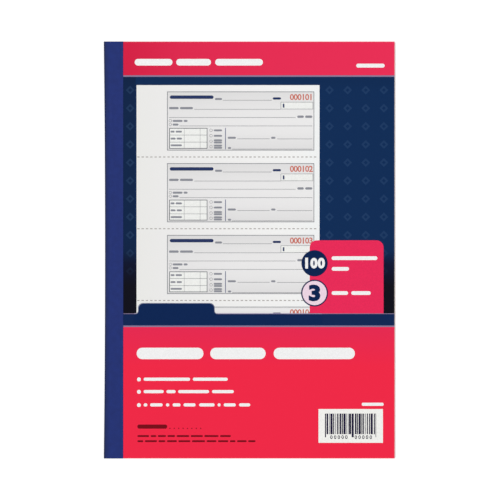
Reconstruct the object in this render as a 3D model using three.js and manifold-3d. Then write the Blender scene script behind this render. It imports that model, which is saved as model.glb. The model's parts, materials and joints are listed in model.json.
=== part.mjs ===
// A taped receipt book: 25 three-ply carbonless receipt sets between a card front cover and a
// board back cover, side-stapled and taped at the spine. The back cover's fore-edge is creased
// into a narrow wall and a wide flap, the writing guard, which lies folded under the book.
//
// Millimetres, +Z up. The book lies on its back with the spine at -X and the head of the page
// at +Y. The origin is the middle of the footprint, on the surface that the book lies on.

import * as THREE from 'three';
import { mergeVertices } from 'three/addons/utils/BufferGeometryUtils.js';
import Module from 'manifold-3d';

const wasm = await Module();
wasm.setup();

// Whole book: 7 5/8 by 10 7/8 inches, from the tape's outer face to the guard's fold
const bookWidth = 193.7;
const bookHeight = 276.2;

// Paper, card and board
const paperThickness = 0.075;
const coverThickness = 0.3;
const boardThickness = 0.35;

// Air between two sheets, and between pieces that lie on each other
const sheetGap = 0.015;
const layerGap = 0.02;

// Receipt sets, the first one on top
const setCount = 25;
const turningSets = 2;
const looseSets = 9;
const plies = ['white', 'canary', 'pink'];

// Binding tape, a channel that wraps the spine
const tapeWidth = 12.9;
const tapeThickness = 0.18;
const tapeEdgeRadius = 0.12;

// Crease line that the cover and the leaves turn about, just past the tape's edge
const creaseSetback = 0.3;
const creaseHalfGap = 0.25;

// Staples, bent from flat wire
const staplePitch = 90;
const stapleInset = 5;
const crownLength = 12.5;
const clinchLength = 4;
const wireWidth = 0.7;
const wireThickness = 0.45;
const stapleClearance = 0.1;

// Writing guard: its folds, and the room that it needs round the pages
const foldGap = 0.15;
const guardCreaseGap = 0.5;
const foreEdgeClearance = 0.175;
const flapRise = 0.25;
const flapWidth = 152.4;
const flapCornerRadius = 9;

const arcSteps = 6;

// Heights, from the surface up
const backCoverBottom = boardThickness + foldGap;
const backCoverTop = backCoverBottom + boardThickness;
const sheetPitch = paperThickness + sheetGap;
const sheetCount = setCount * plies.length;
const lowestSheet = backCoverTop + layerGap;
const coverBottom = lowestSheet + sheetCount * sheetPitch;
const coverTop = coverBottom + coverThickness;
const tapeTop = coverTop + layerGap + tapeThickness;
const tapeBottom = backCoverBottom - layerGap - tapeThickness;

// Places across the book
const tapeOuter = -bookWidth / 2;
const spineEdge = tapeOuter + tapeThickness + layerGap;
const creaseX = tapeOuter + tapeWidth + creaseSetback;
const stubEdge = creaseX - creaseHalfGap;
const panelEdge = creaseX + creaseHalfGap;
const foldOuterRadius = boardThickness + foldGap / 2;
const foldInnerRadius = foldGap / 2;
const foldX = bookWidth / 2 - foldOuterRadius;
const foldZ = foldOuterRadius;
const foreEdge = foldX - foldOuterRadius - foreEdgeClearance;

// The guard's second crease, measured from the first along the guard
const secondCrease = coverTop + flapRise - foldZ;

// Staple heights and places
const stapleX = tapeOuter + stapleInset;
const crownBottom = coverTop - wireThickness;
const clinchTop = backCoverBottom + wireThickness;
const staples = { staple_top: staplePitch, staple_middle: 0, staple_bottom: -staplePitch };

const finishes = {
  white: { color: 0xf1f2ee, roughness: 0.88, metalness: 0 },
  canary: { color: 0xf6ecab, roughness: 0.88, metalness: 0 },
  pink: { color: 0xf3c6cf, roughness: 0.88, metalness: 0 },
  joined: { color: 0xf0e6d6, roughness: 0.88, metalness: 0 },
  cover: { color: 0xe62b4b, roughness: 0.35, metalness: 0 },
  board: { color: 0xdcd8d8, roughness: 0.8, metalness: 0 },
  tape: { color: 0x263672, roughness: 0.6, metalness: 0 },
  wire: { color: 0xb4b6b8, roughness: 0.35, metalness: 1 },
};

const book = new THREE.Group();

function addPiece(name, geometry, finish) {
  const mesh = new THREE.Mesh(geometry, new THREE.MeshStandardMaterial(finishes[finish]));
  mesh.name = name;
  book.add(mesh);
  return mesh;
}

function rectangle(left, right, near, far) {
  const shape = new THREE.Shape();
  shape.moveTo(left, near);
  shape.lineTo(right, near);
  shape.lineTo(right, far);
  shape.lineTo(left, far);
  shape.closePath();
  return shape;
}

// A strip across the book's full height, between two places on X
function fullHeight(left, right) {
  return rectangle(left, right, -bookHeight / 2, bookHeight / 2);
}

function plate(shape, thickness) {
  return new THREE.ExtrudeGeometry(shape, {
    depth: thickness,
    bevelEnabled: false,
    curveSegments: arcSteps,
  });
}

// An outline in X and Z, drawn out along Y over the given length, half of it to each side
function drawnAlongY(outline, length) {
  const geometry = plate(outline, length);
  geometry.rotateX(Math.PI / 2);
  geometry.translate(0, length / 2, 0);
  return geometry;
}

// Which openings the staples need in a layer between two heights: the crown's slot near the top,
// the clinched ends' slots near the bottom, and leg holes between them
function stapleOpenings(bottom, top) {
  const side = wireWidth / 2 + stapleClearance;
  const outer = crownLength / 2 + stapleClearance;
  let spans = [
    [-outer, wireThickness + 2 * stapleClearance - outer],
    [outer - wireThickness - 2 * stapleClearance, outer],
  ];
  if (bottom < clinchTop + layerGap) {
    const reach = clinchLength + 2 * stapleClearance;
    spans = [
      [-outer, reach - outer],
      [outer - reach, outer],
    ];
  }
  if (top > crownBottom - layerGap) {
    spans = [[-outer, outer]];
  }
  return Object.values(staples).flatMap((y) =>
    spans.map(([near, far]) => rectangle(stapleX - side, stapleX + side, y + near, y + far))
  );
}

// A layer bound at the spine, from there to the given place, with its staple openings
function boundLayer(right, bottom, thickness) {
  const shape = fullHeight(spineEdge, right);
  shape.holes.push(...stapleOpenings(bottom, bottom + thickness));
  return plate(shape, thickness);
}

// Height of a sheet's underside, counted from the top sheet, which is number 0
function sheetBottom(number) {
  return lowestSheet + (sheetCount - 1 - number) * sheetPitch;
}

function addTurningSheet(name, finish, bottom) {
  const stub = addPiece(`${name}_stub`, boundLayer(stubEdge, bottom, paperThickness), finish);
  stub.position.z = bottom;
  const leaf = addPiece(name, plate(fullHeight(panelEdge, foreEdge), paperThickness), finish);
  leaf.position.z = bottom;
}

function addFixedSheet(name, finish, bottom, thickness) {
  const sheet = addPiece(name, boundLayer(foreEdge, bottom, thickness), finish);
  sheet.position.z = bottom;
}

// Sets near the top are loose plies, and the lower ones are each three plies lightly joined
function addReceiptSets() {
  for (let index = 0; index < setCount; index++) {
    const set = `set_${String(index + 1).padStart(2, '0')}`;
    const topSheet = index * plies.length;
    if (index >= looseSets) {
      const bottom = sheetBottom(topSheet + plies.length - 1);
      addFixedSheet(set, 'joined', bottom, plies.length * sheetPitch - sheetGap);
      continue;
    }
    plies.forEach((ply, order) => {
      const bottom = sheetBottom(topSheet + order);
      if (index < turningSets) {
        addTurningSheet(`${set}_${ply}`, ply, bottom);
      } else {
        addFixedSheet(`${set}_${ply}`, ply, bottom, paperThickness);
      }
    });
  }
}

function addFrontCover() {
  const stub = addPiece(
    'front_cover_stub',
    boundLayer(stubEdge, coverBottom, coverThickness),
    'cover'
  );
  stub.position.z = coverBottom;
  const panel = addPiece('front_cover', plate(fullHeight(panelEdge, foreEdge), coverThickness), 'cover');
  panel.position.z = coverBottom;
}

function toSolid(geometry) {
  const bare = geometry.clone();
  bare.deleteAttribute('normal');
  bare.deleteAttribute('uv');
  const merged = mergeVertices(bare, 1e-5);
  return new wasm.Manifold(
    new wasm.Mesh({
      numProp: 3,
      vertProperties: new Float32Array(merged.attributes.position.array),
      triVerts: new Uint32Array(merged.index.array),
    })
  );
}

function fromSolid(solid) {
  const mesh = solid.getMesh();
  const geometry = new THREE.BufferGeometry();
  geometry.setAttribute('position', new THREE.BufferAttribute(mesh.vertProperties, 3));
  geometry.setIndex(new THREE.BufferAttribute(mesh.triVerts, 1));
  geometry.computeVertexNormals();
  return geometry;
}

// The board from the spine to the fore-edge, where it rolls under in a half ring: the first crease
function backCoverOutline() {
  const outline = new THREE.Shape();
  outline.moveTo(spineEdge, backCoverBottom);
  outline.lineTo(foldX, backCoverBottom);
  outline.absarc(foldX, foldZ, foldInnerRadius, Math.PI / 2, -Math.PI / 2, true);
  outline.lineTo(foldX, 0);
  outline.absarc(foldX, foldZ, foldOuterRadius, -Math.PI / 2, Math.PI / 2, false);
  outline.lineTo(spineEdge, backCoverTop);
  outline.closePath();
  return outline;
}

function addBackCover() {
  let solid = toSolid(drawnAlongY(backCoverOutline(), bookHeight));
  for (const opening of stapleOpenings(backCoverBottom, backCoverTop)) {
    const cutter = plate(opening, backCoverTop);
    cutter.translate(0, 0, backCoverBottom / 2);
    solid = solid.subtract(toSolid(cutter));
  }
  addPiece('back_cover', fromSolid(solid), 'board');
}

// Channel section: front strip, spine wall and back strip, with softened outer edges
function addBindingTape() {
  const edge = tapeOuter + tapeWidth;
  const outline = new THREE.Shape();
  outline.moveTo(edge, tapeBottom);
  outline.lineTo(edge, tapeBottom + tapeThickness);
  outline.lineTo(tapeOuter + tapeThickness, tapeBottom + tapeThickness);
  outline.lineTo(tapeOuter + tapeThickness, tapeTop - tapeThickness);
  outline.lineTo(edge, tapeTop - tapeThickness);
  outline.lineTo(edge, tapeTop);
  outline.absarc(
    tapeOuter + tapeEdgeRadius,
    tapeTop - tapeEdgeRadius,
    tapeEdgeRadius,
    Math.PI / 2,
    Math.PI,
    false
  );
  outline.absarc(
    tapeOuter + tapeEdgeRadius,
    tapeBottom + tapeEdgeRadius,
    tapeEdgeRadius,
    Math.PI,
    (3 * Math.PI) / 2,
    false
  );
  outline.closePath();
  addPiece('binding_tape', drawnAlongY(outline, bookHeight), 'tape');
}

// Crown, two legs and two clinched ends, seen along the wire's width, in a plane across the book
function stapleOutline() {
  const half = crownLength / 2;
  const tip = half - clinchLength;
  const leg = half - wireThickness;
  const outline = new THREE.Shape();
  outline.moveTo(tip, backCoverBottom);
  outline.lineTo(leg, backCoverBottom);
  outline.absarc(leg, clinchTop, wireThickness, -Math.PI / 2, 0, false);
  outline.absarc(leg, crownBottom, wireThickness, 0, Math.PI / 2, false);
  outline.absarc(-leg, crownBottom, wireThickness, Math.PI / 2, Math.PI, false);
  outline.absarc(-leg, clinchTop, wireThickness, Math.PI, (3 * Math.PI) / 2, false);
  outline.lineTo(-tip, backCoverBottom);
  outline.lineTo(-tip, clinchTop);
  outline.lineTo(-leg, clinchTop);
  outline.lineTo(-leg, crownBottom);
  outline.lineTo(leg, crownBottom);
  outline.lineTo(leg, clinchTop);
  outline.lineTo(tip, clinchTop);
  outline.closePath();
  return outline;
}

function addStaples() {
  for (const [name, y] of Object.entries(staples)) {
    const geometry = drawnAlongY(stapleOutline(), wireWidth);
    geometry.rotateZ(Math.PI / 2);
    const staple = addPiece(name, geometry, 'wire');
    staple.position.set(stapleX, y, 0);
  }
}

// Free corners of the flap are rounded, so that it slips under a set
function flapShape(left, right) {
  const near = -bookHeight / 2;
  const far = bookHeight / 2;
  const radius = flapCornerRadius;
  const shape = new THREE.Shape();
  shape.moveTo(right, near);
  shape.lineTo(right, far);
  shape.lineTo(left + radius, far);
  shape.absarc(left + radius, far - radius, radius, Math.PI / 2, Math.PI, false);
  shape.absarc(left + radius, near + radius, radius, Math.PI, (3 * Math.PI) / 2, false);
  shape.closePath();
  return shape;
}

// At rest the guard lies folded flat under the back cover, reaching from its crease to the left
function addWritingGuard() {
  const wallRight = foldX - guardCreaseGap;
  const wallLeft = foldX - secondCrease + guardCreaseGap;
  addPiece('guard_wall', plate(fullHeight(wallLeft, wallRight), boardThickness), 'board');
  const flapRight = foldX - secondCrease - guardCreaseGap;
  addPiece('guard_flap', plate(flapShape(flapRight - flapWidth, flapRight), boardThickness), 'board');
}

addBackCover();
addWritingGuard();
addReceiptSets();
addFrontCover();
addBindingTape();
addStaples();

export default book;
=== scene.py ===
import json
import math
import random

import bmesh
import bpy
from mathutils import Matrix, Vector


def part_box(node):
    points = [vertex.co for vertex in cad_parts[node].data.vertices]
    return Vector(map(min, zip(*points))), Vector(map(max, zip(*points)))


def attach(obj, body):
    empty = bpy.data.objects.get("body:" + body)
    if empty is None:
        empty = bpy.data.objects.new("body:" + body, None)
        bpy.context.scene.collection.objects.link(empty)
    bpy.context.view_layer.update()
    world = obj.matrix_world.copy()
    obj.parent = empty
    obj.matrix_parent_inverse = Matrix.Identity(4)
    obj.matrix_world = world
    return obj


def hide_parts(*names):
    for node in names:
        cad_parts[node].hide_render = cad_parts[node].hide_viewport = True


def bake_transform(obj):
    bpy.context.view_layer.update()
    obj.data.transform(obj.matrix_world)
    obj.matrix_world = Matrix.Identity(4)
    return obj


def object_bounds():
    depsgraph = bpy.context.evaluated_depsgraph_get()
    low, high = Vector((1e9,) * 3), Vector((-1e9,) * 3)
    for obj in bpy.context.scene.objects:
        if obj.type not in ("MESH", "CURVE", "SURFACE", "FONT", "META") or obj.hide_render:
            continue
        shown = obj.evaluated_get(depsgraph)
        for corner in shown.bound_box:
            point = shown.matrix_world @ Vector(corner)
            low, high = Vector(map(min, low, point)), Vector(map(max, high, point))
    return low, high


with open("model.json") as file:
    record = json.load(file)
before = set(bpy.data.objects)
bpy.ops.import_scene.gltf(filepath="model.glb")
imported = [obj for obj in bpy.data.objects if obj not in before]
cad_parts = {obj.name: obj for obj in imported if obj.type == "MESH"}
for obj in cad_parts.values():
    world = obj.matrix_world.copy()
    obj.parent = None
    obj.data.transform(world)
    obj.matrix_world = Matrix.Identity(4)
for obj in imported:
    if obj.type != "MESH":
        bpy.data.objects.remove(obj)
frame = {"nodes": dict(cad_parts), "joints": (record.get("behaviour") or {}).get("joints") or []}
cad_low, cad_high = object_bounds()

# Lengths are in millimetres, but the studio, the camera and finished meshes are in metres.
MM = 0.001

# Printed cover: places from the book's left and top edges, looking down on it.
# A box is left, right, top and bottom.
HEADER_BOTTOM = 22.4
HEADER_LINE_BOTTOM = 23.45
FIELD_BOTTOM = 180.1
BAR_BOTTOM = 188.1
BAR_LINE_BOTTOM = 189.1
BAR_TOP_LINE = 0.4
PALE_LINES = (
    (HEADER_BOTTOM, HEADER_LINE_BOTTOM),
    (FIELD_BOTTOM, FIELD_BOTTOM + BAR_TOP_LINE),
    (BAR_BOTTOM, BAR_LINE_BOTTOM),
)
PICTURE_LEFT = 21.1
PICTURE_TOP = 28.9
PICTURE_SCALE = 0.688
PICTURE_TRIM = 0.9
CALLOUT_BOX = (136.4, 185.3, 131.7, FIELD_BOTTOM)
CALLOUT_CORNER = 4.7
BADGE_RADIUS = 8.7
BADGE_X = 139.6
BADGE_ROWS = (146.9, 166.6)
HUNDRED_BOX = (131.9, 146.5, 143.2, 150.4)
THREE_BOX = (136.0, 143.2, 161.0, 172.1)
THREE_STRETCH = 1.2
TAB_LEFT, TAB_RIGHT, TAB_TOP = 22.7, 73.5, 173.2
TAB_LINE = 0.4
BULLET_X = 23.3
BULLET_ROWS = (223.8, 232.0, 240.8)
BULLET_RADIUS = 1.3
BARCODE_BOX = (142.2, 184.9, 243.4, 265.8)
BARS_BOX = (146.5, 181.1, 246.4, 260.1)
MARK_BOX = (22.3, 42.0, 253.7, 256.4)
MARK_CORNER = 1.2
DOTS_LEFT, DOTS_RIGHT, DOTS_Y = 43.8, 64.2, 256.2
DOT_RADIUS = 0.4
SMALL_PRINT_BOXES = ((22.3, 84.2, 260.0, 262.4), (22.3, 100.5, 263.4, 265.8))

# Bars on the cover that stand for words: layer, top and bottom of the line, and each bar's two ends
COVER_WORDS = (
    (1, 9.0, 17.8, ((20.5, 45.5), (48.0, 71.0), (73.8, 105.4))),
    (1, 13.2, 18.4, ((167.2, 186.0),)),
    (1, 198.4, 213.6, ((21.8, 66.0), (70.5, 107.2), (112.5, 166.3))),
    (1, 221.4, 225.6, ((26.4, 57.2), (59.0, 82.1))),
    (1, 229.6, 233.8, ((26.4, 39.7), (41.5, 47.6), (49.3, 69.8), (71.7, 86.1))),
    (1, 238.4, 242.6, ((26.4, 28.9), (30.7, 39.0), (41.2, 43.4), (45.6, 50.8), (52.8, 60.8),
                       (63.2, 73.4), (75.4, 77.4), (79.4, 87.4), (89.6, 97.0))),
    (1, 238.0, 242.2, ((170.8, 185.4),)),
    (6, 140.8, 145.8, ((150.9, 181.2),)),
    (6, 147.9, 152.9, ((150.9, 162.4),)),
    (6, 163.9, 168.9, ((150.9, 161.8), (163.9, 176.8))),
)

# Receipt page: four receipts to a page, beside the binding margin and its perforation
PAGE_WIDTH = 177.9
RECEIPTS_ON_PAGE = 4
PERFORATION_PITCH = 4.15
PERFORATION_DASH = 2.3
PERFORATION_LINE = 0.3
PICTURED_PERFORATION_LINE = 0.9
MARGIN_PERFORATION_X = 6.5

# Receipt form: places from the page's left edge and the receipt's own top edge.
# A line to write on is left, right and its height.
PANEL_BOX = (30.3, 171.9, 6.2, 62.9)
PANEL_FRAME = 0.55
RULE = 0.32
TITLE_BOX = (32.9, 75.0, 8.1, 14.6)
NUMBER_WORD_BOX = (132, 139.9, 10.6, 14.8)
SERIAL_BOX = (148.6, 170.6, 8.6, 14.5)
AMOUNT_BOX = (139.7, 170.8, 16.3, 23.2)
AMOUNT_MARK_BOX = (141.7, 143.2, 17.9, 21.7)
TABLE_BOX = (32.4, 69.1, 41.3, 61.2)
TABLE_FRAME = 0.6
TABLE_ROWS = (48.1, 54.9)
TABLE_COLUMNS = (46.8, 62.1)
TABLE_UPRIGHT = 0.22
STRIPE_BOX = (86.2, 86.8, 41.1, 61.8)
LABEL_BOXES = (
    (76.4, 83.2, 12.4, 14.2), (32.1, 55.2, 21.0, 23.1), (155.6, 170.1, 29.2, 31.4),
    (35.6, 50.0, 33.5, 35.3), (35.6, 41.3, 37.0, 38.8),
    (33.6, 44.6, 43.9, 45.5), (33.6, 44.6, 50.6, 52.2), (33.6, 44.6, 57.1, 58.7),
    (75.2, 83.2, 42.7, 44.3), (75.2, 83.2, 47.9, 49.5), (75.2, 83.2, 52.25, 53.85),
    (75.2, 83.2, 54.35, 55.95), (75.2, 83.2, 57.35, 58.95), (75.2, 83.2, 59.45, 61.05),
    (88.6, 96.5, 49.7, 51.5), (130.4, 134.6, 49.7, 51.5), (88.8, 91.9, 59.6, 61.3),
)
WRITING_LINES = (
    (84, 131, 14.6), (56.5, 139.7, 23.3), (32.1, 154.1, 31.2), (42.3, 170.1, 39.3),
    (98, 129, 51.7), (136.2, 170.1, 51.8), (93, 170.1, 61.6),
)
# Circles to tick: each one's middle and radius
CIRCLES = ((33.4, 34.4, 1.35), (33.4, 37.9, 1.35), (72.6, 43.5, 1.45), (72.6, 48.7, 1.45),
           (72.6, 54.1, 1.45), (72.6, 59.2, 1.45))
CIRCLE_LINE = 0.25

# Print is a thin film: the height of one layer of it on the cover and on a sheet
COVER_FILM = 0.012
SHEET_FILM = 0.007
# A sheet that carries print is this much thinner than its solid, which leaves room for the print
SHEET_THINNER = 0.022

# The card and the leaves bend from this far before the crease to this far past it
CREASE_LEAD = 0.25
CREASE_BEND = 1.7
# The guard's roll takes in this much of its wall
FOLD_LEAD = 0.5

# The spine is drawn in a little at mid-height by the staples and the tape
SPINE_BOW = 0.85
SPINE_BOW_REACH = 9.0

# Sheets in the block are trimmed short by up to this much
TRIM_JITTER = 0.05
# Share of its room that a sheet of the lower sets fills
SHEET_SHARE = 0.8

# The staples lift the tape by this much, less and less over these lengths across and along the spine
STAPLE_LIFT = 0.07
LIFT_ACROSS = 0.9
LIFT_ALONG = 0.8

# Bars that stand for lettering and for labels, as shares of a line's height: how tall they are, how far
# their middle is above its foot, and their least gap and length
WORD_BAR_SHARE = 0.5
LABEL_BAR_SHARE = 0.75
BAR_MIDDLE_SHARE = 0.46
BAR_GAP_SHARE = 0.42
BAR_LEAST_SHARE = 0.8
# A label's line stands out of its box by this much, above and below
LABEL_PAD = 0.4

FIRST_NUMBER = 101

# Seeds of whatever is drawn at random
LABEL_SEED = 3
SMALL_PRINT_SEED = 42
BARCODE_SEED = 7
TRIM_SEED = 25

PLIES = ("white", "canary", "pink")
STAPLE_NAMES = ("staple_top", "staple_middle", "staple_bottom")


def corners(node):
    """Lowest and highest corner of a CAD node, in millimetres."""
    low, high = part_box(node)
    return [v / MM for v in low], [v / MM for v in high]


joint_places = {j["name"]: [v / MM for v in j["pos_m"]] for j in frame["joints"]}
crease_x, _, crease_z = joint_places["cover_open"]
bend_start, bend_end = crease_x - CREASE_LEAD, crease_x + CREASE_BEND
fold_x, _, fold_z = joint_places["guard_swing"]
book_left = cad_low.x / MM
book_width = (cad_high.x - cad_low.x) / MM
book_bottom_edge = cad_low.y / MM
book_top_edge = cad_high.y / MM
book_height = book_top_edge - book_bottom_edge
spine_edge = corners("front_cover_stub")[0][0]
fore_edge = corners("front_cover")[1][0]
cover_bottom = corners("front_cover")[0][2]
cover_top = corners("front_cover")[1][2]
tape_low, tape_high = corners("binding_tape")


def steps(start, end, count):
    """count + 1 even places from start to end."""
    return [start + (end - start) * i / count for i in range(count + 1)]


def rows_up(count):
    """count + 1 even places from the book's lower edge to its upper one."""
    return steps(book_bottom_edge, book_top_edge, count)


def bowed(x, y):
    """x of a point near the spine, drawn in at mid-height."""
    near_spine = max(0.0, 1 - (x - book_left) / SPINE_BOW_REACH)
    return x + SPINE_BOW * near_spine * (1 - (2 * y / book_height) ** 2)


# Meshes


def placed(name, data, place=(0, 0, 0)):
    """A new object in the scene."""
    made = bpy.data.objects.new(name, data)
    made.location = place
    bpy.context.scene.collection.objects.link(made)
    return made


def mesh_object(name, vertices, uvs, faces, materials, slots=None):
    """A mesh from vertices in millimetres and a UV for each. slots gives each face's material."""
    mesh = bpy.data.meshes.new(name)
    mesh.from_pydata([[c * MM for c in v] for v in vertices], [], faces)
    for material in materials:
        mesh.materials.append(material)
    if slots:
        mesh.polygons.foreach_set("material_index", slots)
    layer = mesh.uv_layers.new(name="UVMap")
    for loop in mesh.loops:
        layer.data[loop.index].uv = uvs[loop.vertex_index]
    mesh.update()
    return placed(name, mesh)


def slab(name, xs, ys, bottom, top, materials):
    """A closed sheet on a grid: material 0 on its upper face, 1 below and 2 on the edges.
    UVs are shares of the book's width and height, so that the material bends with the sheet."""
    columns, rows = len(xs), len(ys)
    vertices, uvs = [], []
    for height in (top, bottom):
        for y in ys:
            for x in xs:
                vertices.append((bowed(x, y), y, height))
                uvs.append(((x - book_left) / book_width, (y - book_bottom_edge) / book_height))
    under = columns * rows
    faces, slots = [], []
    for row in range(rows - 1):
        for column in range(columns - 1):
            a = row * columns + column
            b, c, d = a + 1, a + columns + 1, a + columns
            faces.append((a, b, c, d))
            faces.append((d + under, c + under, b + under, a + under))
            slots += [0, 1]
    rim = list(range(columns - 1))
    rim += [row * columns + columns - 1 for row in range(rows - 1)]
    rim += [(rows - 1) * columns + column for column in range(columns - 1, 0, -1)]
    rim += [row * columns for row in range(rows - 1, 0, -1)]
    for a, b in zip(rim, rim[1:] + rim[:1]):
        faces.append((a + under, b + under, b, a))
        slots.append(2)
    return mesh_object(name, vertices, uvs, faces, materials, slots)


def drawn_section(name, section, ys, material, lift=None):
    """A closed outline in X and Z, anticlockwise as seen from the lower edge, drawn along Y.
    UVs are in centimetres round the outline and along Y. lift gives how far a point is raised."""
    count = len(section)
    lengths = [0.0]
    for (x0, z0), (x1, z1) in zip(section, section[1:]):
        lengths.append(lengths[-1] + math.hypot(x1 - x0, z1 - z0))
    vertices, uvs = [], []
    for y in ys:
        for (x, z), along in zip(section, lengths):
            vertices.append((bowed(x, y), y, z + lift(x, y, z) if lift else z))
            uvs.append((along / 10, y / 10))
    faces = []
    for row in range(len(ys) - 1):
        for i in range(count):
            a = row * count + i
            b = row * count + (i + 1) % count
            faces.append((a, a + count, b + count, b))
    last = (len(ys) - 1) * count
    faces.append(tuple(range(count)))
    faces.append(tuple(reversed(range(last, last + count))))
    return mesh_object(name, vertices, uvs, faces, [material])


def arc(x, y, radius, start, end, count):
    """count + 1 points of an arc about x and y, from start to end in degrees."""
    angles = [math.radians(a) for a in steps(start, end, count)]
    return [(x + radius * math.cos(a), y + radius * math.sin(a)) for a in angles]


# Materials


# How a level face shows its base colour: the studio light on it, and what gloss adds to every colour
LIGHT_ON_COVER = 0.95
GLOSS_VEIL = 0.006
# Limits of a base colour
BRIGHTEST = 0.93
DARKEST = 0.0015
# Specular level of coated card and of ink
CARD_GLOSS = 0.2


class Nodes:
    """The nodes of a material or of the world, with short ways to add and join them."""

    def __init__(self, owner, shader):
        owner.use_nodes = True
        self.tree = owner.node_tree
        self.shader = self.tree.nodes[shader]

    def feed(self, socket, value):
        """Joins another node's output to a socket, or sets the socket to a number or a colour."""
        if isinstance(value, bpy.types.NodeSocket):
            self.tree.links.new(value, socket)
        elif socket.type == "RGBA":
            socket.default_value = (*value, 1)
        else:
            socket.default_value = value

    def surface(self, name, value):
        """Sets or joins one of the shader's own sockets."""
        self.feed(self.shader.inputs[name], value)

    def add(self, kind, inputs, **settings):
        node = self.tree.nodes.new(kind)
        for key, value in settings.items():
            setattr(node, key, value)
        for key, value in inputs.items():
            self.feed(node.inputs[key], value)
        return node

    def coordinates(self, kind, scale=(1, 1, 1)):
        """Texture coordinates of a kind, such as UV or Object, stretched by scale."""
        source = self.add("ShaderNodeTexCoord", {}).outputs[kind]
        return self.add("ShaderNodeMapping", {"Vector": source, "Scale": scale}).outputs["Vector"]

    def on_sheet(self):
        """Centimetres across and up a sheet of the book's size."""
        return self.coordinates("UV", (book_width / 10, book_height / 10, 1))

    def split(self, vector):
        """The X, the Y and the Z of a vector."""
        return self.add("ShaderNodeSeparateXYZ", {"Vector": vector}).outputs

    def noise(self, vector, scale, detail=4.0, roughness=0.6):
        inputs = {"Vector": vector, "Scale": scale, "Detail": detail, "Roughness": roughness}
        return self.add("ShaderNodeTexNoise", inputs).outputs["Fac"]

    def math(self, operation, first, second=0.0):
        return self.add("ShaderNodeMath", {0: first, 1: second}, operation=operation).outputs[0]

    def between(self, value, low, high):
        """1 where the value lies between low and high, and 0 elsewhere."""
        above = self.math("GREATER_THAN", value, low)
        return self.math("MULTIPLY", above, self.math("LESS_THAN", value, high))

    def ramp(self, factor, stops):
        """Colours by place: stops holds places, each with its colour."""
        node = self.add("ShaderNodeValToRGB", {"Fac": factor})
        bar = node.color_ramp
        while len(bar.elements) < len(stops):
            bar.elements.new(1.0)
        for element, (place, colour) in zip(bar.elements, stops):
            element.position = place
            element.color = (*colour, 1)
        return node.outputs["Color"]

    def mix(self, factor, first, second, blend="MIX"):
        inputs = {"Factor": factor, 6: first, 7: second}
        return self.add("ShaderNodeMix", inputs, data_type="RGBA", blend_type=blend).outputs[2]

    def bump(self, height, strength, distance):
        """distance is in millimetres."""
        inputs = {"Height": height, "Strength": strength, "Distance": distance * MM}
        self.surface("Normal", self.add("ShaderNodeBump", inputs).outputs["Normal"])

    def colour(self, source):
        self.surface("Base Color", source)

    def roughness_between(self, factor, low, high):
        inputs = {"Value": factor, "To Min": low, "To Max": high}
        self.surface("Roughness", self.add("ShaderNodeMapRange", inputs).outputs["Result"])


class Surface(Nodes):
    """A new material, whose colour and roughness hold until a texture takes their place."""

    def __init__(self, name, colour, roughness):
        self.material = bpy.data.materials.new(name)
        super().__init__(self.material, "Principled BSDF")
        self.surface("Base Color", colour)
        self.surface("Roughness", roughness)


def seen(red, green, blue):
    """The base colour, in linear values, of a face that is to show as this screen colour, 0 to 255."""
    shown = [v / 255 / 12.92 if v <= 10 else ((v / 255 + 0.055) / 1.055) ** 2.4 for v in (red, green, blue)]
    return tuple(min(BRIGHTEST, max(DARKEST, (v - GLOSS_VEIL) / LIGHT_ON_COVER)) for v in shown)


def shaded(colour, share):
    return tuple(min(1.0, c * share) for c in colour)


LOWER_RED = seen(241, 43, 72)
LOWER_RED_TOP = seen(230, 44, 83)
LILAC = seen(134, 121, 151)
NAVY = seen(20, 47, 87)
NAVY_DUSK = seen(19, 28, 55)
NAVY_DARK = seen(16, 14, 30)
NAVY_BAR = seen(22, 42, 84)
NAVY_LIGHT = seen(62, 92, 132)
PAPER_WHITE = seen(235, 235, 231)
PAPER_CANARY = seen(246, 234, 160)
PAPER_PINK = seen(244, 190, 202)
BOARD_GREY = seen(222, 215, 217)
TAPE_BLUE = seen(31, 47, 112)


def paper(name, colour, seed):
    """Uncoated paper: cloudy formation, fine fibres and a soft tooth."""
    made = Surface(name, colour, 0.86)
    cloud = made.noise(made.on_sheet(), scale=1.6 + seed * 0.1, detail=3)
    fibre_place = made.coordinates("UV", (book_width / 10, book_height / 4, 1))
    fibre = made.noise(fibre_place, scale=22, detail=6, roughness=0.7)
    mottled = made.ramp(cloud, [(0.3, shaded(colour, 0.965)), (0.7, shaded(colour, 1.01))])
    made.colour(made.mix(made.math("MULTIPLY", fibre, 0.18), mottled, shaded(colour, 0.88)))
    made.bump(fibre, strength=0.35, distance=0.03)
    return made.material


def paper_edge(name, colour, seed):
    """Guillotined edge of a sheet: streaked along the cut."""
    made = Surface(name, colour, 0.92)
    place = made.coordinates("Object", (900, 900, 14000))
    streak = made.noise(place, scale=1.0 + seed * 0.07, detail=4, roughness=0.7)
    made.colour(made.ramp(streak, [(0.3, shaded(colour, 0.8)), (0.62, shaded(colour, 1.0))]))
    made.bump(streak, strength=0.5, distance=0.03)
    return made.material


def share_up(from_top):
    """A height on the cover as a share of the book's height, counted from its lower edge."""
    return 1 - from_top / book_height


# Tones of the red header by share of the cover's width, and of the navy field and of the red below it by
# distance from the cover's top edge
HEADER_TONES = (
    (0.08, seen(212, 35, 70)), (0.25, seen(221, 43, 79)), (0.56, seen(230, 47, 84)),
    (1.0, seen(234, 49, 87)),
)
FIELD_TONES = (
    (162, NAVY_DARK), (147, NAVY_DUSK), (139, shaded(NAVY, 0.88)), (130, NAVY), (34, NAVY),
    (HEADER_LINE_BOTTOM, shaded(NAVY, 0.9)),
)
LOWER_TONES = ((book_height, LOWER_RED), (215, LOWER_RED), (BAR_LINE_BOTTOM, LOWER_RED_TOP))


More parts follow.
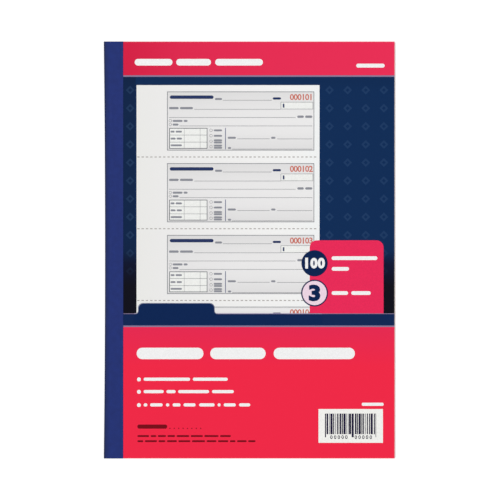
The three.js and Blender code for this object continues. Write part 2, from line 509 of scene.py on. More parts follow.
def printed_card():
    """The cover's coated face: coloured bands, a navy field with diamonds, and light wear."""
    made = Surface("cover_print", LOWER_RED, 0.4)
    made.surface("Specular IOR Level", CARD_GLOSS)
    across, up, _ = made.split(made.coordinates("UV"))

    header = made.ramp(across, HEADER_TONES)
    lower = made.ramp(up, [(share_up(place), tone) for place, tone in LOWER_TONES])
    field = made.ramp(up, [(share_up(place), tone) for place, tone in FIELD_TONES])
    beside_picture = made.math("LESS_THAN", across, PICTURE_LEFT / book_width)
    field = made.mix(made.math("MULTIPLY", beside_picture, 0.35), field, NAVY_DARK)
    field = made.mix(diamonds(made, across, up), field, NAVY_LIGHT)
    in_bar = made.math("LESS_THAN", up, share_up(FIELD_BOTTOM))
    field = made.mix(in_bar, field, NAVY_BAR)

    in_header = made.math("GREATER_THAN", up, share_up(HEADER_BOTTOM))
    print_colour = made.mix(in_header, lower, header)
    in_field = made.between(up, share_up(BAR_BOTTOM), share_up(HEADER_LINE_BOTTOM))
    print_colour = made.mix(in_field, print_colour, field)
    for line_top, line_bottom in PALE_LINES:
        in_line = made.between(up, share_up(line_bottom), share_up(line_top))
        print_colour = made.mix(in_line, print_colour, LILAC)

    made.colour(worn(made, print_colour, across, up))
    grain = made.noise(made.on_sheet(), scale=9, detail=5, roughness=0.65)
    made.roughness_between(grain, 0.33, 0.5)
    made.bump(grain, strength=0.12, distance=0.02)
    return made.material


def diamonds(made, across, up):
    """Where a faint square grid of diamonds shows on the navy field, fading out downward."""
    pitch = 12.0
    outer_reach, inner_reach = 2.9, 1.305
    first_x, first_y = -0.5, -2.0
    offsets = []
    for share, length, first in ((across, book_width, first_x), (up, book_height, first_y)):
        place = made.math("MULTIPLY", share, length / pitch)
        cell = made.math("FRACT", made.math("SUBTRACT", place, first / pitch))
        offsets.append(made.math("ABSOLUTE", made.math("SUBTRACT", cell, 0.5)))
    distance = made.math("ADD", *offsets)
    inside = made.math("LESS_THAN", distance, outer_reach / pitch)
    outline = made.math("GREATER_THAN", distance, inner_reach / pitch)
    fade = made.ramp(up, [(share_up(160), (0, 0, 0)), (share_up(130), (0.2, 0.2, 0.2))])
    return made.math("MULTIPLY", made.math("MULTIPLY", inside, outline), fade)


def worn(made, print_colour, across, up):
    """Ink slightly rubbed along the card's edges."""
    rims = []
    for share, length, rim in ((across, book_width, 1.35), (up, book_height, 0.35)):
        centred = made.math("ABSOLUTE", made.math("SUBTRACT", share, 0.5))
        rims.append(made.math("GREATER_THAN", centred, 0.5 - rim / length))
    patch = made.math("MULTIPLY", made.noise(made.on_sheet(), scale=7), made.math("MAXIMUM", *rims))
    return made.mix(made.math("MULTIPLY", patch, 0.4), print_colour, PAPER_WHITE)


# Tape on the front, and all of it, from its edge on the front round the spine to its edge on the back
TAPE_WIDTH = tape_high[0] - tape_low[0]
TAPE_ROUND = 2 * TAPE_WIDTH + tape_high[2]
# Painted shade on the tape: place past the spine's front edge, share of its red and green, and share of its
# blue
TAPE_PAINTED_SHADE = (
    (-3.5, 1.0, 1.0), (-1.1, 0.84, 0.7), (-0.5, 0.42, 0.36), (0.5, 0.75, 0.7), (7.6, 0.75, 0.7),
    (12.0, 1.0, 1.0),
)


def woven_tape():
    """Cloth tape: a fine plain weave, a slight sheen, and painted shade round the spine's edges."""
    made = Surface("tape_cloth", TAPE_BLUE, 0.6)
    made.surface("Specular IOR Level", 0.3)
    made.surface("Sheen Weight", 0.05)
    made.surface("Sheen Roughness", 0.4)
    threads = []
    for direction in ("X", "Y"):
        inputs = {"Vector": made.coordinates("UV"), "Scale": 4.2, "Distortion": 0.6, "Detail": 1}
        wave = made.add("ShaderNodeTexWave", inputs, wave_type="BANDS", bands_direction=direction)
        threads.append(wave.outputs["Fac"])
    weave = made.math("MULTIPLY", *threads)
    cloud = made.noise(made.coordinates("UV"), scale=2.2)
    base = made.ramp(cloud, [(0.3, shaded(TAPE_BLUE, 0.86)), (0.7, shaded(TAPE_BLUE, 1.1))])
    woven = made.mix(made.math("MULTIPLY", weave, 0.3), base, shaded(TAPE_BLUE, 1.45))
    around = made.split(made.coordinates("UV", (10 / TAPE_ROUND, 1, 1)))["X"]
    # Painted shade: darkest at the spine's rounded front edge, and darker down the spine's face
    shades = made.ramp(around, [
        ((TAPE_WIDTH + beyond) / TAPE_ROUND, (warm, warm, blue)) for beyond, warm, blue in TAPE_PAINTED_SHADE
    ])
    made.colour(made.mix(1.0, woven, shades, "MULTIPLY"))
    made.roughness_between(weave, 0.5, 0.7)
    made.bump(weave, strength=0.5, distance=0.06)
    return made.material


def lined_board():
    """White-lined board: pale with grey flecks and a faint press pattern."""
    made = Surface("board_lined", BOARD_GREY, 0.8)
    place = made.coordinates("Object", (100, 100, 100))
    cloud = made.noise(place, scale=0.7, detail=3)
    fleck = made.noise(place, scale=14, detail=2, roughness=0.5)
    base = made.ramp(cloud, [(0.3, shaded(BOARD_GREY, 0.985)), (0.7, shaded(BOARD_GREY, 1.01))])
    spots = made.ramp(fleck, [(0.66, (0, 0, 0)), (0.74, (0.4, 0.4, 0.4))])
    made.colour(made.mix(spots, base, shaded(BOARD_GREY, 0.65)))
    press = made.noise(place, scale=20, detail=5, roughness=0.7)
    made.bump(press, strength=0.3, distance=0.04)
    return made.material


def bright_wire():
    """Drawn steel wire with fine lengthwise marks."""
    made = Surface("staple_steel", seen(190, 192, 196), 0.3)
    made.surface("Metallic", 1.0)
    marks = made.noise(made.coordinates("Object", (6000, 300, 300)), scale=1, detail=3)
    made.roughness_between(marks, 0.22, 0.42)
    made.bump(marks, strength=0.2, distance=0.01)
    return made.material


def mottle(made, scale, low, high):
    """Where ink lies thin: mottled in its roughness, from low to high, and in its surface."""
    patches = made.noise(made.coordinates("Object", (1000, 1000, 1000)), scale=scale, detail=3)
    made.roughness_between(patches, low, high)
    made.bump(patches, strength=0.1, distance=0.01)
    return patches


def printed_ground(name, across, shades_up):
    """An evenly printed ground: colours by place across it, and shares of them by place up it."""
    made = Surface("ink_" + name, across[0][1], 0.75)
    place_across, place_up, _ = made.split(made.coordinates("UV"))
    colours = made.ramp(place_across, across)
    shades = made.ramp(place_up, [(place, (share,) * 3) for place, share in shades_up])
    made.colour(made.mix(1.0, colours, shades, "MULTIPLY"))
    mottle(made, 1.2, 0.65, 0.85)
    return made.material


def tinted_panel(name, colour):
    """A receipt's ground: a fine tint, a little paler to the right and halfway up."""
    across = [(0.0, shaded(colour, 0.95)), (0.5, shaded(colour, 0.995)), (1.0, shaded(colour, 1.01))]
    shades_up = ((0.0, 0.885), (0.32, 0.985), (0.5, 1.0), (0.65, 0.985), (1.0, 0.89))
    return printed_ground(name, across, shades_up)


def picture_page():
    """The pictured page's ground, paler to the right."""
    across = [(0.0, seen(233, 233, 230)), (0.15, seen(235, 234, 233)), (0.85, seen(243, 243, 241)),
              (1.0, seen(240, 244, 246))]
    return printed_ground("page", across, ((0.0, 1.0), (1.0, 1.0)))


def ink(name, colour, roughness):
    """Printing ink: even, with a slight mottle."""
    made = Surface("ink_" + name, colour, roughness)
    made.surface("Specular IOR Level", CARD_GLOSS)
    patches = mottle(made, 1.3, roughness * 0.85, roughness * 1.15)
    made.colour(made.ramp(patches, [(0.3, shaded(colour, 0.94)), (0.7, shaded(colour, 1.06))]))
    return made.material


# Print, laid on a face as thin closed shapes


def digit_shapes(thickening):
    """The digits 0 to 9 in the built-in font: vertices from each one's lower left corner, and faces."""
    found = {}
    for digit in "0123456789":
        curve = bpy.data.curves.new("digit", "FONT")
        curve.body = digit
        curve.extrude = 0.5
        curve.offset = thickening
        curve.resolution_u = 3
        holder = placed("digit", curve)
        bpy.context.view_layer.update()
        graph = bpy.context.evaluated_depsgraph_get()
        mesh = bpy.data.meshes.new_from_object(holder.evaluated_get(graph))
        join_skins(mesh)
        left = min(v.co.x for v in mesh.vertices)
        foot = min(v.co.y for v in mesh.vertices)
        vertices = [(v.co.x - left, v.co.y - foot, v.co.z) for v in mesh.vertices]
        found[digit] = (vertices, [tuple(face.vertices) for face in mesh.polygons])
        bpy.data.objects.remove(holder)
        bpy.data.curves.remove(curve)
        bpy.data.meshes.remove(mesh)
    return found


def join_skins(mesh):
    """Joins a digit's face and sides into one closed skin, and cuts its level faces without needles."""
    skin = bmesh.new()
    skin.from_mesh(mesh)
    bmesh.ops.remove_doubles(skin, verts=skin.verts, dist=0.001)
    level = [face for face in skin.faces if abs(face.normal.z) > 0.5 or face.calc_area() < 1e-6]
    edges = list({edge for face in level for edge in face.edges})
    bmesh.ops.beautify_fill(skin, faces=level, edges=edges)
    bmesh.ops.recalc_face_normals(skin, faces=skin.faces)
    skin.to_mesh(mesh)
    skin.free()


DIGITS = {"light": digit_shapes(0.02), "heavy": digit_shapes(0.055)}


class Print:
    """Thin shapes on a flat face, measured in millimetres from its left and top edges, times scale."""

    def __init__(self, left, top, scale, face, film, ink_names, **other_inks):
        self.left, self.top, self.scale = left, top, scale
        self.face, self.film = face, film
        self.inks = {name: INK[name] for name in ink_names} | other_inks
        self.vertices, self.faces, self.slots, self.uvs = [], [], [], []

    def place(self, x, y):
        return self.left + x * self.scale, self.top - y * self.scale

    def heights(self, layer):
        return self.face, self.face + layer * self.film

    def arc(self, x, y, radius, start, end, count):
        return arc(*self.place(x, y), radius * self.scale, start, end, count)

    def add(self, faces, ink_name):
        self.faces += faces
        self.slots += [list(self.inks).index(ink_name)] * len(faces)

    def solid(self, ink_name, layer, outline):
        """A closed film with this outline, anticlockwise as seen from above."""
        low, high = self.heights(layer)
        start, count = len(self.vertices), len(outline)
        left, right = min(p[0] for p in outline), max(p[0] for p in outline)
        near, far = min(p[1] for p in outline), max(p[1] for p in outline)
        for height in (low, high):
            self.vertices += [(x, y, height) for x, y in outline]
            self.uvs += [((x - left) / (right - left), (y - near) / (far - near)) for x, y in outline]
        around = range(count)
        faces = [tuple(start + count + i for i in around), tuple(start + i for i in reversed(around))]
        for i in around:
            j = (i + 1) % count
            faces.append((start + i, start + j, start + count + j, start + count + i))
        self.add(faces, ink_name)

    def bar(self, ink_name, layer, left, right, top, bottom):
        x0, y0 = self.place(left, bottom)
        x1, y1 = self.place(right, top)
        self.solid(ink_name, layer, [(x0, y0), (x1, y0), (x1, y1), (x0, y1)])

    def rounded(self, ink_name, layer, left, right, top, bottom, radii):
        """A box whose corners have radii: top left, top right, bottom right, bottom left."""
        outline = []
        spots = [(left, top, 1, 1, 180), (right, top, -1, 1, 90),
                 (right, bottom, -1, -1, 0), (left, bottom, 1, -1, -90)]
        for (x, y, inward_x, inward_y, start), radius in zip(spots, radii):
            count = 6 if radius * self.scale > 1.0 else 3
            centre = x + inward_x * radius, y + inward_y * radius
            outline += self.arc(*centre, radius, start, start - 90, count) if radius else [self.place(x, y)]
        self.solid(ink_name, layer, outline[::-1])

    def tab(self, ink_name, layer, left, right, top, bottom):
        """A file-card tab: rounded at its upper corners and flared where it stands."""
        corner, foot = 3.2, 2.2
        outline = self.arc(left - foot, bottom - foot, foot, -90, 0, 5)
        outline += self.arc(left + corner, top + corner, corner, 180, 90, 6)
        outline += self.arc(right - corner, top + corner, corner, 90, 0, 6)
        outline += self.arc(right + foot, bottom - foot, foot, -180, -90, 5)
        self.solid(ink_name, layer, outline[::-1])

    def disc(self, ink_name, layer, x, y, radius, sides=24):
        self.solid(ink_name, layer, self.arc(x, y, radius, 0, 360, sides)[1:])

    def ring(self, ink_name, layer, x, y, radius, line, sides=20):
        low, high = self.heights(layer)
        start = len(self.vertices)
        for distance, height in ((radius, low), (radius, high), (radius - line, high), (radius - line, low)):
            for px, py in self.arc(x, y, distance, 0, 360, sides)[1:]:
                self.vertices.append((px, py, height))
                self.uvs.append((0.5, 0.5))
        loops = [start + sides * k for k in range(4)]
        for a, b in zip(loops, loops[1:] + loops[:1]):
            for i in range(sides):
                j = (i + 1) % sides
                self.add([(a + i, a + j, b + j, b + i)], ink_name)

    def frame_line(self, ink_name, layer, left, right, top, bottom, line):
        self.bar(ink_name, layer, left, right, top, top + line)
        self.bar(ink_name, layer, left, right, bottom - line, bottom)
        self.bar(ink_name, layer, left, left + line, top + line, bottom - line)
        self.bar(ink_name, layer, right - line, right, top + line, bottom - line)

    def perforate_across(self, left, right, y, line):
        for ends in dashes(left, right):
            self.bar("perforation", 2, *ends, y - line / 2, y + line / 2)

    def perforate_down(self, x, top, bottom, line):
        for ends in dashes(top, bottom):
            self.bar("perforation", 2, x - line / 2, x + line / 2, *ends)

    def word(self, ink_name, layer, left, right, top, bottom, share=WORD_BAR_SHARE):
        """Where a word of lettering would stand: one round-ended bar, as tall as its small letters."""
        height = (bottom - top) * share
        middle = bottom - (bottom - top) * BAR_MIDDLE_SHARE
        radius = min(height, right - left) / 2 * 0.98
        self.rounded(ink_name, layer, left, right, middle - height / 2, middle + height / 2, [radius] * 4)

    def words(self, ink_name, layer, left, right, top, bottom, seed, share=WORD_BAR_SHARE):
        """A line of such bars, of seeded lengths."""
        rng = random.Random(seed)
        height = bottom - top
        gap = height * BAR_GAP_SHARE
        x = left
        while right - x > height * BAR_LEAST_SHARE:
            end = x + height * rng.uniform(1.5, 4.2)
            if right - end < gap + height:
                end = right
            self.word(ink_name, layer, x, end, top, bottom, share)
            x = end + gap

    def digits(self, ink_name, layer, text, left, right, top, bottom, weight="light", stretch=1.0):
        """Digits spread evenly between left and right, as tall as top to bottom, and stretched in width."""
        low, high = self.heights(layer)
        pitch = (right - left) / len(text)
        for number, digit in enumerate(text):
            shape, faces = DIGITS[weight][digit]
            wide, tall = (max(v[axis] for v in shape) for axis in (0, 1))
            grow = (bottom - top) / tall
            widen = grow * stretch
            x_start = left + pitch * number + (pitch - wide * widen) / 2
            start = len(self.vertices)
            for x, y, z in shape:
                px, py = self.place(x_start + x * widen, bottom - y * grow)
                self.vertices.append((px, py, high if z > 0 else low))
                self.uvs.append((0.5, 0.5))
            self.add([tuple(start + i for i in face) for face in faces], ink_name)

    def finish(self, name, body):
        made = mesh_object(name, self.vertices, self.uvs, self.faces, self.inks.values(), self.slots)
        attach(made, body)


def dashes(start, end):
    """Both ends of each dash of a perforation."""
    count = int((end - start - PERFORATION_DASH) / PERFORATION_PITCH) + 1
    starts = [start + PERFORATION_PITCH * i for i in range(count)]
    return [(place, place + PERFORATION_DASH) for place in starts]


def lowered(box, distance):
    """A box of left, right, top and bottom, moved down the page."""
    left, right, top, bottom = box
    return left, right, top + distance, bottom + distance


def receipt_number(page, top, number):
    """The bar before a receipt's serial number, and the number."""
    page.word("heading", 3, *lowered(NUMBER_WORD_BOX, top))
    page.digits("serial", 3, f"{number:06d}", *lowered(SERIAL_BOX, top))


def receipt(page, top, number):
    """One receipt on a page, from its top edge down: tinted panel, white cells, rules and labels."""

    def label(left, right, high, low):
        seed = LABEL_SEED + round(left * 7 + high * 13)
        box = lowered((left, right, high - LABEL_PAD, low + LABEL_PAD), top)
        page.words("label", 3, *box, seed, LABEL_BAR_SHARE)

    def rule(left, right, y):
        page.bar("rule", 3, *lowered((left, right, y - RULE / 2, y + RULE / 2), top))

    def cell(box, line):
        page.bar("cell", 2, *lowered(box, top))
        page.frame_line("rule", 3, *lowered(box, top), line)

    page.bar("tint", 1, *lowered(PANEL_BOX, top))
    page.frame_line("outline", 2, *lowered(PANEL_BOX, top), PANEL_FRAME)
    page.word("heading", 3, *lowered(TITLE_BOX, top))
    receipt_number(page, top, number)
    for box in LABEL_BOXES:
        label(*box)
    for line in WRITING_LINES:
        rule(*line)

    cell(AMOUNT_BOX, RULE)
    page.bar("heading", 3, *lowered(AMOUNT_MARK_BOX, top))
    cell(TABLE_BOX, TABLE_FRAME)
    left, right, table_top, table_bottom = TABLE_BOX
    for y in TABLE_ROWS:
        rule(left, right, y)
    for x in TABLE_COLUMNS:
        upright = (x - TABLE_UPRIGHT / 2, x + TABLE_UPRIGHT / 2, table_top, table_bottom)
        page.bar("rule", 3, *lowered(upright, top))
    page.bar("stripe", 3, *lowered(STRIPE_BOX, top))
    for x, y, radius in CIRCLES:
        page.ring("rule", 3, x, top + y, radius, CIRCLE_LINE)


# Inks and papers

# Each ink's colour and roughness
INK_COLOURS = {
    "heading": (seen(42, 55, 96), 0.5),
    "label": (seen(140, 142, 150), 0.5),
    "rule": (seen(84, 87, 96), 0.5),
    "serial": (seen(203, 113, 98), 0.5),
    "stripe": (seen(44, 62, 112), 0.5),
    "perforation": (seen(168, 164, 160), 0.5),
    "outline": (seen(110, 112, 120), 0.5),
    "white": (seen(252, 250, 249), 0.4),
    "cell": (seen(238, 239, 236), 0.6),
    "cell_canary": (seen(249, 240, 176), 0.8),
    "cell_pink": (seen(247, 200, 210), 0.8),
    "navy": (seen(12, 40, 80), 0.35),
    "navy_bar": (NAVY_BAR, 0.35),
    "lilac": (seen(160, 150, 180), 0.35),
    "slate": (seen(116, 122, 148), 0.35),
    "pale_pink": (seen(238, 214, 228), 0.4),
    "callout_red": (seen(233, 47, 90), 0.35),
    "dark_red": (seen(118, 10, 30), 0.4),
    "box": (seen(255, 244, 238), 0.45),
    "bars": (seen(34, 30, 58), 0.4),
}
INK = {name: ink(name, colour, roughness) for name, (colour, roughness) in INK_COLOURS.items()}
TINTS = {
    "white": tinted_panel("tint", seen(234, 233, 233)),
    "canary": tinted_panel("tint_canary", seen(238, 226, 148)),
    "pink": tinted_panel("tint_pink", seen(236, 178, 192)),
}
CELLS = {"white": INK["cell"], "canary": INK["cell_canary"], "pink": INK["cell_pink"]}
INK["tint"] = TINTS["white"]
INK["page"] = picture_page()
PAPER_COLOURS = {"white": PAPER_WHITE, "canary": PAPER_CANARY, "pink": PAPER_PINK}
PAPERS = {ply: paper(f"paper_{ply}", PAPER_COLOURS[ply], seed) for seed, ply in enumerate(PLIES, 1)}
EDGES = {ply: paper_edge(f"edge_{ply}", PAPER_COLOURS[ply], seed) for seed, ply in enumerate(PLIES, 1)}
FORM_INKS = ("tint", "cell", "outline", "heading", "label", "rule", "serial", "stripe", "perforation")
COVER_PRINT = printed_card()
CARD_INSIDE = paper("card_inside", seen(232, 230, 226), 4)
CARD_EDGE = paper_edge("card_edge", seen(222, 206, 208), 4)
TAPE_CLOTH = woven_tape()
BOARD = lined_board()
STEEL = bright_wire()


# Pieces

SHEET_ROWS = rows_up(24)


def sheet_materials(ply):
    return [PAPERS[ply], PAPERS[ply], EDGES[ply]]


def hinged_columns():
    """Grid lines across a sheet that bends at the crease: close together where it bends."""
    columns = steps(spine_edge, bend_start, 4)
    columns += steps(bend_start, bend_end, 10)[1:]
    return columns + steps(bend_end, fore_edge, 8)[1:]


def bend_at_crease(piece):
    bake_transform(piece)


def front_cover():
    cover = slab("front_cover_card", hinged_columns(), SHEET_ROWS, cover_bottom, cover_top,
                 [COVER_PRINT, CARD_INSIDE, CARD_EDGE])
    bend_at_crease(cover)
    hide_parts("front_cover", "front_cover_stub")


def cover_picture():
    """The picture of a receipt page on the cover: three receipts and the start of a fourth."""
    page = Print(book_left + PICTURE_LEFT, book_top_edge - PICTURE_TOP, PICTURE_SCALE,
                 cover_top, COVER_FILM, ("page", *FORM_INKS))
    pitch = book_height / RECEIPTS_ON_PAGE
    shown_height = (FIELD_BOTTOM - PICTURE_TOP) / PICTURE_SCALE
    page.bar("page", 1, PICTURE_TRIM, PAGE_WIDTH - PICTURE_TRIM, 0, shown_height)
    page.face += COVER_FILM
    for index in range(RECEIPTS_ON_PAGE - 1):
        receipt(page, index * pitch, FIRST_NUMBER + index)
        foot = (index + 1) * pitch + 0.15
        page.perforate_across(1.5, PAGE_WIDTH, foot, PICTURED_PERFORATION_LINE)
    last = (RECEIPTS_ON_PAGE - 1) * pitch
    left, right, top, _ = lowered(PANEL_BOX, last)
    page.bar("tint", 1, left, right, top, shown_height)
    page.bar("outline", 2, left, right, top, top + PANEL_FRAME)
    receipt_number(page, last, FIRST_NUMBER + RECEIPTS_ON_PAGE - 1)
    page.finish("cover_picture", "front_cover")


COVER_INKS = ("white", "navy", "navy_bar", "lilac", "slate", "pale_pink", "callout_red", "dark_red", "box",
              "bars")


def cover_blocks():
    """Bars where the cover's lettering stands, the callout, the bare tab and the barcode box."""
    cover = Print(book_left, book_top_edge, 1.0, cover_top, COVER_FILM, COVER_INKS)
    tab_and_bar(cover)
    small_print(cover)
    barcode(cover)
    callout(cover)
    for y in BULLET_ROWS:
        cover.disc("white", 1, BULLET_X, y, BULLET_RADIUS)
    for layer, top, bottom, ends in COVER_WORDS:
        for left, right in ends:
            cover.word("white", layer, left, right, top, bottom)
    cover.finish("cover_blocks", "front_cover")


def tab_and_bar(cover):
    """The navy bar across the picture's foot, its pale line, and the bare tab that stands on it."""
    left = PICTURE_LEFT - 1
    right = PICTURE_LEFT + PAGE_WIDTH * PICTURE_SCALE + 1
    line_bottom = FIELD_BOTTOM + BAR_TOP_LINE
    cover.bar("lilac", 5, left, right, FIELD_BOTTOM - 0.1, line_bottom)
    cover.bar("navy_bar", 5, left, right, line_bottom, BAR_BOTTOM - 1)
    cover.tab("slate", 6, TAB_LEFT, TAB_RIGHT, TAB_TOP, line_bottom)
    inner_left, inner_right = TAB_LEFT + TAB_LINE, TAB_RIGHT - TAB_LINE
    cover.tab("navy_bar", 7, inner_left, inner_right, TAB_TOP + TAB_LINE, line_bottom + 0.1)


def small_print(cover):
    """The dark bars and dots low on the cover."""
    cover.rounded("dark_red", 1, *MARK_BOX, [MARK_CORNER] * 4)
    for x in steps(DOTS_LEFT, DOTS_RIGHT, 7):
        cover.disc("dark_red", 1, x, DOTS_Y, DOT_RADIUS, 8)
    for line, box in enumerate(SMALL_PRINT_BOXES):
        cover.words("dark_red", 1, *box, SMALL_PRINT_SEED + line)


def barcode(cover):
    """A pale box with plain bars of seeded widths, which encode nothing, over rows of zeros."""
    cover.bar("box", 1, *BARCODE_BOX)
    left, right, top, bottom = BARS_BOX
    rng = random.Random(BARCODE_SEED)
    unit = 0.36
    guard_drop = 2.0
    x = left
    while x < right - 2 * unit:
        width = unit * rng.choice((1, 2, 2, 3, 4))
        guard = x < left + 3 * unit or x > right - 5 * unit or abs(x - (left + right) / 2) < 1.5 * unit
        cover.bar("bars", 2, x, min(x + width, right), top, bottom + guard_drop * guard)
        x += width + unit * rng.choice((1, 1, 2))
    inset, digits_width = 3.0, 12.4
    for start in (left + inset, right - inset - digits_width):
        cover.digits("bars", 2, "00000", start, start + digits_width, bottom + 0.7, bottom + 3.2)


def callout(cover):
    """Red box at the picture's corner, with two round badges that hold plain numbers."""
    cover.rounded("callout_red", 5, *CALLOUT_BOX, (CALLOUT_CORNER, CALLOUT_CORNER, 0, 0))
    upper, lower = BADGE_ROWS
    cover.disc("navy", 6, BADGE_X, upper, BADGE_RADIUS, 48)
    cover.digits("white", 7, "100", *HUNDRED_BOX, "heavy")
    cover.disc("navy", 6, BADGE_X, lower, BADGE_RADIUS + 0.2, 48)
    cover.disc("pale_pink", 7, BADGE_X, lower, BADGE_RADIUS - 0.65, 48)
    cover.digits("navy", 8, "3", *THREE_BOX, "heavy", THREE_STRETCH)


def printed_page(name, body, ply, top, first_number):
    """Four receipts on a sheet, and the perforations between them and along the binding margin."""
    page = Print(fore_edge - PAGE_WIDTH, book_top_edge, 1.0, top, SHEET_FILM, FORM_INKS,
                 tint=TINTS[ply], cell=CELLS[ply])
    pitch = book_height / RECEIPTS_ON_PAGE
    for index in range(RECEIPTS_ON_PAGE):
        receipt(page, index * pitch, first_number + index)
        if index:
            page.perforate_across(1.0, PAGE_WIDTH, index * pitch, PERFORATION_LINE)
    page.perforate_down(MARGIN_PERFORATION_X, 1.0, book_height - 1.0, PERFORATION_LINE)
    page.finish(name, body)


def turning_sheet(name, ply, first_number):
    low, high = corners(name)
    top = high[2] - SHEET_THINNER
    sheet = slab(f"{name}_sheet", hinged_columns(), SHEET_ROWS, low[2], top, sheet_materials(ply))
    bend_at_crease(sheet)
    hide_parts(name, f"{name}_stub")
    printed_page(f"{name}_print", name, ply, top, first_number)


def fixed_sheet(name, ply, bottom, top, replaced, rng):
    """A sheet held in the block, trimmed a hair in or out of line with its neighbours."""
    trims = [rng.uniform(0, TRIM_JITTER) for _ in range(3)]
    columns = [spine_edge, spine_edge + SPINE_BOW_REACH, 0, fore_edge - trims[0]]
    rows = steps(book_bottom_edge + trims[1], book_top_edge - trims[2], 16)
    sheet = slab(name, columns, rows, bottom, top, sheet_materials(ply))
    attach(sheet, "book")
    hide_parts(replaced)


def receipt_sets():
    rng = random.Random(TRIM_SEED)
    nodes = frame["nodes"]
    for number in range(1, 26):
        name = f"set_{number:02d}"
        first_number = FIRST_NUMBER + (number - 1) * RECEIPTS_ON_PAGE
        joined = name in nodes
        for order, ply in enumerate(PLIES):
            ply_name = f"{name}_{ply}"
            if joined:
                low, high = corners(name)
                pitch = (high[2] - low[2]) / len(PLIES)
                top = high[2] - order * pitch
                fixed_sheet(ply_name + "_sheet", ply, top - pitch * SHEET_SHARE, top, name, rng)
            elif ply_name + "_stub" in nodes:
                turning_sheet(ply_name, ply, first_number)
            else:
                low, high = corners(ply_name)
                top = high[2] - SHEET_THINNER
                fixed_sheet(ply_name + "_sheet", ply, low[2], top, ply_name, rng)
                if number == 3 and ply == "white":
                    printed_page(ply_name + "_print", "book", ply, top, first_number)


STAPLES = [corners(name) for name in STAPLE_NAMES]


def staple_bumps(x, y):
    """How far the staples' crowns lift the tape."""
    lift = 0.0
    for low, high in STAPLES:
        centre_x = (low[0] + high[0]) / 2
        beyond = max(low[1] - y, y - high[1], 0)
        away = ((x - centre_x) / LIFT_ACROSS) ** 2 + (beyond / LIFT_ALONG) ** 2
        lift += STAPLE_LIFT * math.exp(-away)
    return lift


def binding_tape():
    """Tape as a channel with rounded spine edges and the staples showing through."""
    low_x, _, low_z = tape_low
    high_x, _, top_z = tape_high
    high_z = top_z - STAPLE_LIFT
    inner_x = spine_edge - 0.02
    thickness = high_z - cover_top - 0.02
    round_off = 0.45
    front = steps(high_x, low_x + round_off, 22)
    section = [(x, high_z) for x in front]
    section += arc(low_x + round_off, high_z - round_off, round_off, 90, 180, 6)[1:]
    section += arc(low_x + round_off, low_z + round_off, round_off, 180, 270, 6)
    section += [(x, low_z) for x in steps(low_x + round_off, high_x, 6)[1:]]
    section += [(high_x, low_z + thickness), (inner_x, low_z + thickness)]
    section += [(inner_x, high_z - thickness), (high_x, high_z - thickness)]

    def lift(x, y, z):
        return staple_bumps(x, y) if z > high_z - 0.01 else 0.0

    tape = drawn_section("binding_tape_cloth", section, rows_up(160), TAPE_CLOTH, lift)
    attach(tape, "book")
    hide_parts("binding_tape")


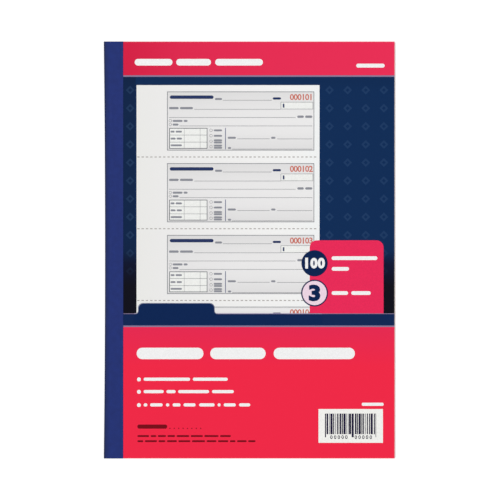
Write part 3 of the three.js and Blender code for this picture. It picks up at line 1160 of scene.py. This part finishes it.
def back_cover():
    """The board, and the roll of its first crease."""
    board_top = corners("back_cover")[1][2]
    board_bottom = 2 * fold_z - corners("guard_flap")[1][2]
    section = [(x, board_bottom) for x in (spine_edge, spine_edge + SPINE_BOW_REACH, fold_x)]
    section += [(x, board_top) for x in (fold_x, spine_edge + SPINE_BOW_REACH, spine_edge)]
    board = drawn_section("back_cover_board", section, rows_up(16), BOARD)
    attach(board, "book")
    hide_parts("back_cover")

    outer = board_top - fold_z
    inner = board_bottom - fold_z
    wall_edge, wall_top = fold_x - FOLD_LEAD, fold_z - inner
    roll = [(wall_edge, 0), *arc(fold_x, fold_z, outer, -90, 90, 16)]
    roll += [*arc(fold_x, fold_z, inner, 90, -90, 16), (wall_edge, wall_top)]
    crease = drawn_section("guard_crease_roll", roll, rows_up(8), BOARD)
    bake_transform(crease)


def writing_guard():
    """The guard's wall, and the strip of board at its second crease."""
    wall_low, wall_high = corners("guard_wall")
    flap_edge = corners("guard_flap")[1][0]
    thickness = wall_high[2]
    wall_edge = fold_x - FOLD_LEAD
    wall_section = [(wall_low[0], 0), (wall_edge, 0), (wall_edge, thickness), (wall_low[0], thickness)]
    wall = drawn_section("guard_wall_board", wall_section, rows_up(8), BOARD)
    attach(wall, "guard_wall")
    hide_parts("guard_wall")
    across = steps(flap_edge, wall_low[0], 8)
    strip = [(x, 0) for x in across] + [(x, thickness) for x in reversed(across)]
    crease = drawn_section("guard_crease_strip", strip, rows_up(8), BOARD)
    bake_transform(crease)


def finish_cad_nodes():
    """Pieces whose CAD shape is right get their finish."""
    for names, material in ((STAPLE_NAMES, STEEL), (("guard_flap",), BOARD)):
        for name in names:
            slots = frame["nodes"][name].data.materials
            slots.clear()
            slots.append(material)


FLOOR_TONE = 0.35
FLOOR_GLOW = 0.8


def studio():
    """A pale floor that glows a little, even light from all round and two soft lights."""
    bpy.ops.mesh.primitive_plane_add(size=8, location=(0, 0, -0.0005))
    floor = bpy.context.object
    floor.name = "floor"
    tone = (FLOOR_TONE,) * 3
    made = Surface("floor_white", tone, 0.9)
    cloud = made.noise(made.coordinates("Object"), scale=3, detail=2)
    made.colour(made.ramp(cloud, [(0.3, shaded(tone, 0.97)), (0.7, shaded(tone, 1.03))]))
    made.surface("Specular IOR Level", 0.1)
    made.surface("Emission Color", (1, 1, 1))
    made.surface("Emission Strength", FLOOR_GLOW)
    floor.data.materials.append(made.material)

    studio_walls()
    softbox("key_light", (-1.3, 0.9, 1.5), 1.2, 15)
    softbox("fill_light", (1.4, -0.6, 1.2), 1.2, 7.5)


def studio_walls():
    """World light: bright walls all round and a dim ceiling, so that gloss doesn't veil the print."""
    world = bpy.data.worlds.new("studio")
    bpy.context.scene.world = world
    made = Nodes(world, "Background")
    height = made.split(made.coordinates("Generated"))["Z"]
    made.surface("Color", made.ramp(height, [(0.62, (1, 1, 1)), (0.92, (0.08, 0.08, 0.08))]))
    made.surface("Strength", 1.0)


def softbox(name, place, size, power):
    light = bpy.data.lights.new(name, "AREA")
    light.shape = "DISK"
    light.size = size
    light.energy = power
    holder = placed(name, light, place)
    aim = -holder.location
    holder.rotation_euler = aim.to_track_quat("-Z", "Y").to_euler()


def camera():
    """Straight down on the cover, from two metres, with the photograph's margins."""
    distance = 2.0
    frame_width = 0.3311
    data = bpy.data.cameras.new("camera")
    data.sensor_width = 36
    data.lens = data.sensor_width * distance / frame_width
    bpy.context.scene.camera = placed("camera", data, (0, 0, cover_top * MM + distance))
    bpy.context.scene.view_settings.view_transform = "Standard"


camera()
studio()
front_cover()
cover_picture()
cover_blocks()
receipt_sets()
binding_tape()
back_cover()
writing_guard()
finish_cad_nodes()
